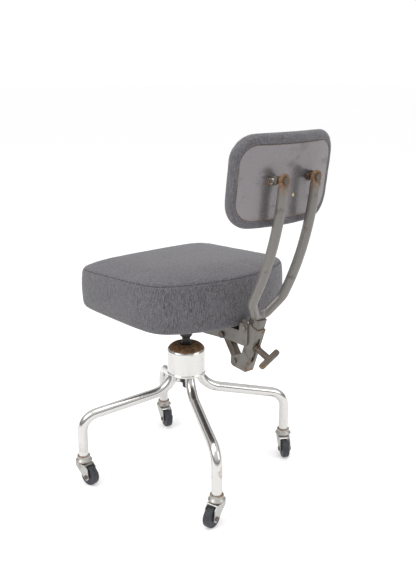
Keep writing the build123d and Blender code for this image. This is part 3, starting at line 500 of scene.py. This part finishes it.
def apply_modifiers(piece):
    view = bpy.context.evaluated_depsgraph_get()
    baked = bpy.data.meshes.new_from_object(piece.evaluated_get(view))
    piece.modifiers.clear()
    piece.data = baked


def even_squares(piece, voxel):
    rebuild = piece.modifiers.new("rebuild", "REMESH")
    rebuild.mode = "VOXEL"
    rebuild.voxel_size = voxel
    apply_modifiers(piece)


def stuff(piece, pressure, cap, held):
    """Swell the piece with cloth. held gives each point from 0, free, to 1, sewn down."""
    rest = all_points(piece.data)
    grip = held(rest)
    pins = piece.vertex_groups.new(name="sewn")
    for index in range(len(rest)):
        pins.add([index], float(grip[index]), "REPLACE")
    cloth = piece.modifiers.new("stuffing", "CLOTH")
    cloth.settings.quality = 6
    cloth.settings.mass = 0.25
    cloth.settings.use_pressure = True
    cloth.settings.uniform_pressure_force = pressure
    cloth.settings.effector_weights.gravity = 0
    cloth.settings.vertex_group_mass = "sewn"
    cloth.point_cache.frame_start = 1
    cloth.point_cache.frame_end = SIM_FRAMES
    for step in range(1, SIM_FRAMES + 1):
        bpy.context.scene.frame_set(step)
    view = bpy.context.evaluated_depsgraph_get()
    moved = all_points(piece.evaluated_get(view).data)
    piece.modifiers.clear()
    piece.vertex_groups.clear()
    bpy.context.scene.frame_set(1)
    shift = moved - rest
    length = np.linalg.norm(shift, axis=1)[:, None] + 1e-9
    kept = shift / length * cap * np.tanh(length / cap)
    write_points(piece.data, rest + kept * (1 - grip[:, None]))
    largest = float(np.linalg.norm(kept, axis=1).max()) * 1000
    print(piece.name, "largest movement", round(largest, 1), "mm")


def refine(piece):
    smooth = piece.modifiers.new("refine", "SUBSURF")
    smooth.levels = 1
    smooth.render_levels = 1
    apply_modifiers(piece)
    piece.data.shade_smooth()


def press_seam(piece, line, depth, width):
    """Push the cover inwards along a sewn line."""
    tree = kdtree.KDTree(len(line))
    for index, point in enumerate(line):
        tree.insert(point, index)
    tree.balance()
    points = all_points(piece.data)
    normals = np.array([vertex.normal[:] for vertex in piece.data.vertices])
    away = np.array([tree.find(Vector(point))[2] for point in points])
    push = depth * np.exp(-((away / width) ** 2))
    write_points(piece.data, points - normals * push[:, None])


# %% [markdown]
# ## The seat cushion
# The seat is a boxed cushion: a top panel and a side band, sewn together in one seam that runs
# all round the upper edge. The front is nearly straight, the sides draw in and the rear is broad
# and curved. The band bellies out slightly and rolls under at the bottom, and the top is crowned.

# %% Seat plan
MM = 0.001
SIDE_POINTS = 40
SIDE_BELLY = 0.003
CORNER_PASSES = 60
SEAT_AROUND = 240
seat_low, seat_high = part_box("seat_cushion")
SEAT_FRONT = seat_low.y + 0.007
SEAT_REAR = seat_high.y - 0.001
FRONT_HALF = 0.1825
REAR_HALF = 0.1765
REAR_OTHER_HALF = 0.1820
SEAT_FLOOR = seat_low.z + 0.0015
FRONT_BOXING = 0.0840
REAR_BOXING = 0.1030


def seam_height(y):
    """Height of the seam: the side band is taller at the rear of the seat."""
    share_back = (y - SEAT_FRONT) / (SEAT_REAR - SEAT_FRONT)
    return SEAT_FLOOR + FRONT_BOXING + (REAR_BOXING - FRONT_BOXING) * share_back


def arc_through(start, middle, end, count_points):
    """Points of a shallow arc, as a parabola through three points."""
    t = np.linspace(0, 1, count_points, endpoint=False)
    control = 2 * np.array(middle) - 0.5 * (np.array(start) + np.array(end))
    return [
        tuple((1 - s) ** 2 * np.array(start) + 2 * s * (1 - s) * control + s**2 * np.array(end))
        for s in t
    ]


front_corner_y = SEAT_FRONT + 0.010
rear_corner_y = SEAT_REAR - 0.060
front_left, front_right = (-FRONT_HALF, front_corner_y), (FRONT_HALF, front_corner_y)
rear_left, rear_right = (-REAR_OTHER_HALF, rear_corner_y), (REAR_HALF, rear_corner_y)
middle_right = ((FRONT_HALF + REAR_HALF) / 2 + SIDE_BELLY, 0.0)
middle_left = (-(FRONT_HALF + REAR_OTHER_HALF) / 2 - SIDE_BELLY, 0.0)
plan = (
    arc_through(front_left, (0, SEAT_FRONT - 0.007), front_right, SIDE_POINTS)
    + arc_through(front_right, middle_right, rear_right, SIDE_POINTS)
    + arc_through(rear_right, (0, SEAT_REAR + 0.001), rear_left, SIDE_POINTS)
    + arc_through(rear_left, middle_left, front_left, SIDE_POINTS)
)
seat_loop = rounded_loop(plan, CORNER_PASSES, SEAT_AROUND)
seat_out = outward_step(seat_loop)
print("seat plan", np.ptp(seat_loop, axis=0).round(3), "m")

# %% [markdown]
# The band's profile is a short list of pairs in millimetres: how far out of the plan, and how far
# up. The height is stretched to the seam, so one profile serves the low front and the tall rear.
# Shrinking rings, each a little higher, then form the crown.

# %% Seat skin
BAND_TOP = 80.5
SEAM_OUT = -3.4
CROWN = 19.0 * MM
SEAT_SQUARE = 5.0 * MM
SEAT_PROFILE = [
    (-70, 0), (-30, 0), (-14, -0.5), (-6, 1.5), (-2, 6), (-0.5, 14), (0.5, 28), (1, 42), (0.6, 56),
    (-0.6, 68), (-2.0, 76), (SEAM_OUT, BAND_TOP),
]
seat_rings = []
for share in (0.02, 0.3, 0.6):
    seat_rings.append([(x * share, y * share, SEAT_FLOOR) for x, y in seat_loop])
for out, up in SEAT_PROFILE:
    ring = seat_loop + seat_out * out * MM
    seat_rings.append(
        [(x, y, SEAT_FLOOR + up / BAND_TOP * (seam_height(y) - SEAT_FLOOR)) for x, y in ring]
    )
seam_ring = seat_loop + seat_out * SEAM_OUT * MM
for share in (0.985, 0.955, 0.91, 0.85, 0.75, 0.6, 0.4, 0.2, 0.02):
    lift = CROWN * (1 - share**6) ** 0.8
    seat_rings.append([(x * share, y * share, seam_height(y * share) + lift) for x, y in seam_ring])
seat = skin_from_rings("seat_upholstery", seat_rings)
even_squares(seat, SEAT_SQUARE)
print("seat squares:", len(seat.data.polygons))

# %% [markdown]
# The seam is held still, because the welt keeps its length, and the underside is tacked to the
# board. Everything between swells. Afterwards the cover is pulled in along the seam, which is what
# stitches do.

# %% Stuff the seat
PRESSURE = 4.0
SEAT_SWELL = 4.0 * MM
SEAM_WIDTH = 2.2 * MM

seam_line = [Vector((x, y, seam_height(y))) for x, y in seam_ring]
seam_tree = kdtree.KDTree(len(seam_line))
for seam_index, seam_point in enumerate(seam_line):
    seam_tree.insert(seam_point, seam_index)
seam_tree.balance()


def seat_held(points):
    """Sewn at the seam and tacked to the board underneath."""
    away = np.array([seam_tree.find(Vector(point))[2] for point in points])
    sewn = np.clip(1.4 - away / (6 * MM), 0, 1)
    tacked = np.clip(1.6 - (points[:, 2] - SEAT_FLOOR) / (4 * MM), 0, 1)
    return np.maximum(sewn, tacked)


stuff(seat, PRESSURE, SEAT_SWELL, seat_held)
refine(seat)
press_seam(seat, seam_line, 1.6 * MM, SEAM_WIDTH)
seat.data.materials.append(tweed)

# %% [markdown]
# ## Seam cords
# A cord follows a path, which is what Geometry Nodes are good at: the tree turns a loop of edges
# into a curve, resamples it, sweeps a round section along it and sets the material. The same
# tree, with other sizes, serves the seat and the back.

# %% The sweep tree
CORD_SPACING = 2.5 * MM


def geometry_tree(name, inputs):
    tree = bpy.data.node_groups.new(name, "GeometryNodeTree")
    tree.interface.new_socket("Geometry", in_out="INPUT", socket_type="NodeSocketGeometry")
    for label, kind in inputs:
        tree.interface.new_socket(label, in_out="INPUT", socket_type=kind)
    tree.interface.new_socket("Geometry", in_out="OUTPUT", socket_type="NodeSocketGeometry")
    return tree, tree.nodes.new("NodeGroupInput"), tree.nodes.new("NodeGroupOutput")


def chain(tree, source, *steps):
    """Add geometry nodes one after another. A step is a node kind and its inputs by name."""
    for kind, values in steps:
        made = tree.nodes.new("GeometryNode" + kind)
        tree.links.new(source, made.inputs[0])
        for key, value in values.items():
            if isinstance(value, bpy.types.NodeSocket):
                tree.links.new(value, made.inputs[key])
            else:
                made.inputs[key].default_value = value
        source = made.outputs[0]
    return source


def grow(name, tree, points, edges, values):
    """Run a tree on a few points and edges, and keep the result as a plain mesh."""
    seed = bpy.data.meshes.new(name + "_path")
    seed.from_pydata(points, edges, [])
    made = bpy.data.objects.new(name, seed)
    bpy.context.scene.collection.objects.link(made)
    growth = made.modifiers.new("growth", "NODES")
    growth.node_group = tree
    for item in tree.interface.items_tree:
        if item.item_type == "SOCKET" and item.in_out == "INPUT" and item.name in values:
            growth[item.identifier] = values[item.name]
    apply_modifiers(made)
    print(name, len(made.data.polygons), "faces")
    return made


cord_tree, cord_in, cord_out = geometry_tree(
    "swept_cord", [("Radius", FLOAT), ("Spacing", FLOAT), ("Finish", "NodeSocketMaterial")]
)
section = cord_tree.nodes.new("GeometryNodeCurvePrimitiveCircle")
section.inputs["Resolution"].default_value = 8
cord_tree.links.new(cord_in.outputs["Radius"], section.inputs["Radius"])
resample = cord_tree.nodes.new("GeometryNodeResampleCurve")
resample.mode = "LENGTH"
to_curve = chain(cord_tree, cord_in.outputs["Geometry"], ("MeshToCurve", {}))
cord_tree.links.new(to_curve, resample.inputs["Curve"])
cord_tree.links.new(cord_in.outputs["Spacing"], resample.inputs["Length"])
cord_result = chain(
    cord_tree, resample.outputs[0],
    ("CurveToMesh", {"Profile Curve": section.outputs[0]}),
    ("SetShadeSmooth", {}),
    ("RealizeInstances", {}),
    ("SetMaterial", {"Material": cord_in.outputs["Finish"]}),
)
cord_tree.links.new(cord_result, cord_out.inputs["Geometry"])


def laid_on(piece, line, sink):
    """Move each point of a line onto the piece's surface, then inwards by sink."""
    laid = []
    for point in line:
        _, near, normal, _ = piece.closest_point_on_mesh(point)
        laid.append(tuple(near - normal * sink))
    return laid


def seam_cord(name, piece, line, radius):
    laid = laid_on(piece, line, radius * 0.35)
    edges = [(i, (i + 1) % len(laid)) for i in range(len(laid))]
    sizes = {"Radius": radius, "Spacing": CORD_SPACING, "Finish": seam_cloth}
    return grow(name, cord_tree, laid, edges, sizes)


seat_seam = seam_cord("seat_seam", seat, seam_line, 0.9 * MM)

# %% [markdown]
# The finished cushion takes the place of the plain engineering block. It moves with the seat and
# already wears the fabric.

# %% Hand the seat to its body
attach(seat, "seat")
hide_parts("seat_cushion")
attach(seat_seam, "seat")

# %% [markdown]
# ## The back cushion
# The back pad is bent round a curved steel plate. Its cloth comes round the edges as a soft roll
# that stands slightly behind the plate. The pad is planned flat, as a rounded rectangle with rings
# from the pocket behind to the crown in front, and every ring is then bent to the plate's curve.

# %% Back plan
LEAN = math.radians(7.3)
BEND_RADIUS = 0.380
PLATE_HALF = BEND_RADIUS * math.radians(17.1)
PLATE_RISE = 0.067
BACK_CENTRE = Vector((0, 0.3035, 0.697))
PAD_AROUND = 200
CORNER_STEPS = 12
ARCH = 2.5 * MM


def pad_loop(margin_side, margin_rise, corner):
    """Rounded rectangle round the plate, bigger by the margins, with an arched top."""
    half, rise = PLATE_HALF + margin_side, PLATE_RISE + margin_rise
    loop = []
    for side, level, start in ((1, 1, 0), (-1, 1, 90), (-1, -1, 180), (1, -1, 270)):
        cx, cy = side * (half - corner), level * (rise - corner)
        for step in range(CORNER_STEPS + 1):
            a = math.radians(start + step * 90 / CORNER_STEPS)
            loop.append((cx + corner * math.cos(a), cy + corner * math.sin(a)))
    even = rounded_loop(loop, 2, PAD_AROUND)
    even[:, 1] += ARCH * np.clip(even[:, 1] / rise, 0, 1) * (1 - (even[:, 0] / half) ** 2)
    return even


def bent(loop, depth):
    """Place flat points on the plate's curve, depth in front of its rear face."""
    placed = []
    for s, t in loop:
        angle = s / BEND_RADIUS
        reach = BEND_RADIUS - depth
        x = reach * math.sin(angle)
        back = reach * math.cos(angle) - BEND_RADIUS
        y = back * math.cos(LEAN) + t * math.sin(LEAN)
        z = t * math.cos(LEAN) - back * math.sin(LEAN)
        placed.append(BACK_CENTRE + Vector((x, y, z)))
    return placed


# %% [markdown]
# The pad's profile gives, for each ring, a share of the margin round the plate and a depth in
# millimetres in front of the plate's rear face. Negative depths are the roll behind the plate.

# %% Back skin
PAD_SIDE = 14.5
PAD_RISE = 17.0
PAD_THICK = 28.5
PAD_CROWN = 6.5
PAD_SQUARE = 4.0 * MM
PAD_PROFILE = [
    (-0.08, 2.1), (0.0, 2.0), (0.06, 0.2), (0.25, -1.6), (0.5, -1.8), (0.75, 0.2), (0.92, 4.0),
    (1.0, 9.5), (1.0, 15.5), (0.87, 21.5), (0.50, 26.0), (0.0, PAD_THICK),
]
pad_rings = []
inner = pad_loop(-2 * MM, -2 * MM, 33 * MM)
for share in (0.02, 0.35, 0.7, 0.95):
    pad_rings.append(bent(inner * share, 2.1 * MM))
for outward, depth in PAD_PROFILE:
    ring = pad_loop(outward * PAD_SIDE * MM, outward * PAD_RISE * MM, (34 + 12 * outward) * MM)
    pad_rings.append(bent(ring, depth * MM))
front_edge = pad_loop(0, 0, 34 * MM)
for share in (0.92, 0.8, 0.6, 0.4, 0.2, 0.02):
    depth = PAD_THICK + PAD_CROWN * (1 - share**2.2)
    pad_rings.append(bent(front_edge * share, depth * MM))
back_pad = skin_from_rings("back_upholstery", pad_rings)
even_squares(back_pad, PAD_SQUARE)
print("back squares:", len(back_pad.data.polygons))

# %% [markdown]
# The same cloth solver fills the back pad. Here the rear is held flat against the plate and the
# front is free, so the pad only grows forwards.

# %% Stuff the back
PAD_SWELL = 5.0 * MM


def pad_depth(points):
    """How far each point lies in front of the plate's rear face."""
    offset = points - np.array(BACK_CENTRE)
    back = offset[:, 1] * math.cos(LEAN) - offset[:, 2] * math.sin(LEAN)
    return BEND_RADIUS - np.hypot(offset[:, 0], back + BEND_RADIUS)


def pad_held(points):
    """Held all over the rear, free in front."""
    return np.clip(1.3 - (pad_depth(points) - 3 * MM) / (8 * MM), 0, 1)


stuff(back_pad, PRESSURE, PAD_SWELL, pad_held)
refine(back_pad)
back_pad.data.materials.append(tweed)
pad_seam_loop = pad_loop(0.90 * PAD_SIDE * MM, 0.90 * PAD_RISE * MM, 45 * MM)
pad_seam_line = bent(pad_seam_loop, 18.0 * MM)
press_seam(back_pad, pad_seam_line, 1.2 * MM, SEAM_WIDTH)
back_seam = seam_cord("back_seam", back_pad, pad_seam_line, 0.8 * MM)

# %% [markdown]
# A small unused screw hole goes through the plate, and the pale wooden board behind it shows. A
# shallow lathed disc, set just inside the hole, is enough.

# %% Wood behind the hole
HOLE_X, HOLE_Z = -0.012, 0.671
HOLE_SETBACK = 0.0004
DISC_POINTS = 24
lean_back = (HOLE_Z - BACK_CENTRE.z) * math.tan(LEAN)
plate_y = BACK_CENTRE.y + lean_back - HOLE_X**2 / (2 * BEND_RADIUS)
board_rings = []
for radius, behind in ((0.2, -1.2), (3.2, -1.2), (3.2, -0.3), (2.6, -0.1), (0.2, 0.0)):
    ring_y = plate_y - HOLE_SETBACK + behind * MM
    board_rings.append([
        (HOLE_X + radius * MM * math.cos(a), ring_y, HOLE_Z + radius * MM * math.sin(a))
        for a in np.linspace(0, 2 * math.pi, DISC_POINTS, endpoint=False)
    ])
board = skin_from_rings("board_in_hole", board_rings)
board.data.materials.append(pale_board)
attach(board, "backrest")

# %% [markdown]
# The back pad is handed over in the same way, and rides on the backrest, so it tilts with the
# plate.

# %% Hand the back pad to its body
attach(back_pad, "backrest")
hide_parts("back_cushion")
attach(back_seam, "backrest")

# %% [markdown]
# ## The spindle's thread
# The seat is raised by turning it on a coarse screw. A thread is a helix with a fixed pitch, so a
# short tree makes the spiral, sweeps a small round section along it and lifts it into place.

# %% Thread tree
thread_tree, thread_in, thread_out = geometry_tree(
    "screw_thread",
    [("Turns", FLOAT), ("Pitch", FLOAT), ("Radius", FLOAT), ("Bottom", FLOAT), ("Ridge", FLOAT),
     ("Finish", "NodeSocketMaterial")],
)
spiral = thread_tree.nodes.new("GeometryNodeCurveSpiral")
spiral.inputs["Resolution"].default_value = 32
rise = thread_tree.nodes.new("ShaderNodeMath")
rise.operation = "MULTIPLY"
lift_to = thread_tree.nodes.new("ShaderNodeCombineXYZ")
ridge_section = thread_tree.nodes.new("GeometryNodeCurvePrimitiveCircle")
ridge_section.inputs["Resolution"].default_value = 6
for start, end in (
    (thread_in.outputs["Turns"], spiral.inputs["Rotations"]),
    (thread_in.outputs["Radius"], spiral.inputs["Start Radius"]),
    (thread_in.outputs["Radius"], spiral.inputs["End Radius"]),
    (thread_in.outputs["Turns"], rise.inputs[0]),
    (thread_in.outputs["Pitch"], rise.inputs[1]),
    (rise.outputs[0], spiral.inputs["Height"]),
    (thread_in.outputs["Bottom"], lift_to.inputs["Z"]),
    (thread_in.outputs["Ridge"], ridge_section.inputs["Radius"]),
):
    thread_tree.links.new(start, end)
thread_result = chain(
    thread_tree, spiral.outputs[0],
    ("CurveToMesh", {"Profile Curve": ridge_section.outputs[0], "Fill Caps": True}),
    ("Transform", {"Translation": lift_to.outputs[0]}),
    ("SetShadeSmooth", {}),
    ("RealizeInstances", {}),
    ("SetMaterial", {"Material": thread_in.outputs["Finish"]}),
)
thread_tree.links.new(thread_result, thread_out.inputs["Geometry"])

# %% [markdown]
# The number of turns follows from the room between the foot of the screw and its collar. The ridge
# sinks into the core by a quarter of a millimetre, so no gap shows between the two.

# %% Cut the thread
THREAD_PITCH = 4.0 * MM
screw_low, screw_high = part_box("spindle_screw")
collar_low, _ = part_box("spindle_collar")
thread_bottom = screw_low.z + 8 * MM
thread_turns = math.floor((collar_low.z - 1 * MM - thread_bottom) / THREAD_PITCH)
thread = grow("spindle_thread", thread_tree, [(0, 0, 0)], [], {
    "Turns": float(thread_turns), "Pitch": THREAD_PITCH, "Radius": screw_high.x - 0.25 * MM,
    "Bottom": thread_bottom, "Ridge": 0.7 * MM, "Finish": dark_steel,
})
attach(thread, "seat")
print("thread turns:", thread_turns)

# %% [markdown]
# ## The studio
# A pale floor and broad soft lights show worn paint and chrome without hard shadows. Chrome only
# reads as chrome when it has something darker to mirror, so the surroundings are bright above and
# greyer near the horizon, while the camera itself sees plain white.

# %% Floor
FLOOR_REACH = 30.0
FLOOR_GLOW = 0.32
floor_mesh = bpy.data.meshes.new("studio_floor")
floor_mesh.from_pydata(
    [(-FLOOR_REACH, -FLOOR_REACH, 0), (FLOOR_REACH, -FLOOR_REACH, 0),
     (FLOOR_REACH, FLOOR_REACH, 0), (-FLOOR_REACH, FLOOR_REACH, 0)], [], [(0, 1, 2, 3)]
)
floor = bpy.data.objects.new("studio_floor", floor_mesh)
bpy.context.scene.collection.objects.link(floor)
floor_finish = bpy.data.materials.new("pale_floor")
floor_finish.use_nodes = True
floor_shader = floor_finish.node_tree.nodes["Principled BSDF"]
floor_shader.inputs["Base Color"].default_value = (0.80, 0.80, 0.80, 1)
floor_shader.inputs["Emission Color"].default_value = (1, 1, 1, 1)
floor_shader.inputs["Emission Strength"].default_value = FLOOR_GLOW
floor_shader.inputs["Roughness"].default_value = 0.6
floor_mesh.materials.append(floor_finish)
print("floor:", 2 * FLOOR_REACH, "m square")

# %% [markdown]
# Three discs of light do the work: a broad one overhead, a stronger one to one side to shape the
# legs, and a weak one on the camera's side to open the shadows. Each is aimed at a point on the
# chair.

# %% Lights
# Name, place, aim, width in metres and power in watts.
LAMPS = [
    ("overhead", (0.3, 0.4, 2.6), (0, 0, 0.3), 2.2, 27),
    ("key", (2.0, -0.2, 1.7), (0, 0, 0.45), 1.4, 19),
    ("fill", (-1.2, 2.3, 1.4), (0, 0.1, 0.45), 1.6, 13),
]


def soft_light(name, place_at, aim_at, width, power):
    data = bpy.data.lights.new(name, "AREA")
    data.shape = "DISK"
    data.size = width
    data.energy = power
    lamp = bpy.data.objects.new(name, data)
    lamp.location = place_at
    lamp.rotation_euler = (Vector(aim_at) - Vector(place_at)).to_track_quat("-Z", "Y").to_euler()
    bpy.context.scene.collection.objects.link(lamp)


for lamp_settings in LAMPS:
    soft_light(*lamp_settings)
print("lamps:", len(LAMPS))

# %% [markdown]
# The surroundings are a soft ramp from grey at the horizon to near white overhead. The light path
# tells a ray from the camera apart from a reflection, so the backdrop can be plain white while the
# chrome still mirrors the ramp.

# %% Surroundings
HORIZON_GREY = (0.14, 0.14, 0.15, 1)
OVERHEAD_WHITE = (0.95, 0.95, 0.95, 1)
BACKDROP_WHITE = (1.06, 1.06, 1.06, 1)

world = bpy.data.worlds.new("studio")
bpy.context.scene.world = world
world.use_nodes = True
sky = world.node_tree
sky.nodes.clear()
direction = wire(sky, "TexCoord").outputs["Generated"]
up_share = wire(sky, "SeparateXYZ", in0=direction).outputs["Z"]
surround = blend_colour(sky, ramp(sky, up_share, -0.05, 0.55), HORIZON_GREY, OVERHEAD_WHITE)
seen = wire(sky, "LightPath").outputs["Is Camera Ray"]
shown = blend_colour(sky, seen, surround, BACKDROP_WHITE)
glow = wire(sky, "Background", Color=shown, Strength=0.95)
sky.links.new(glow.outputs[0], wire(sky, "OutputWorld").inputs[0])
bpy.context.scene.view_settings.view_transform = "Standard"
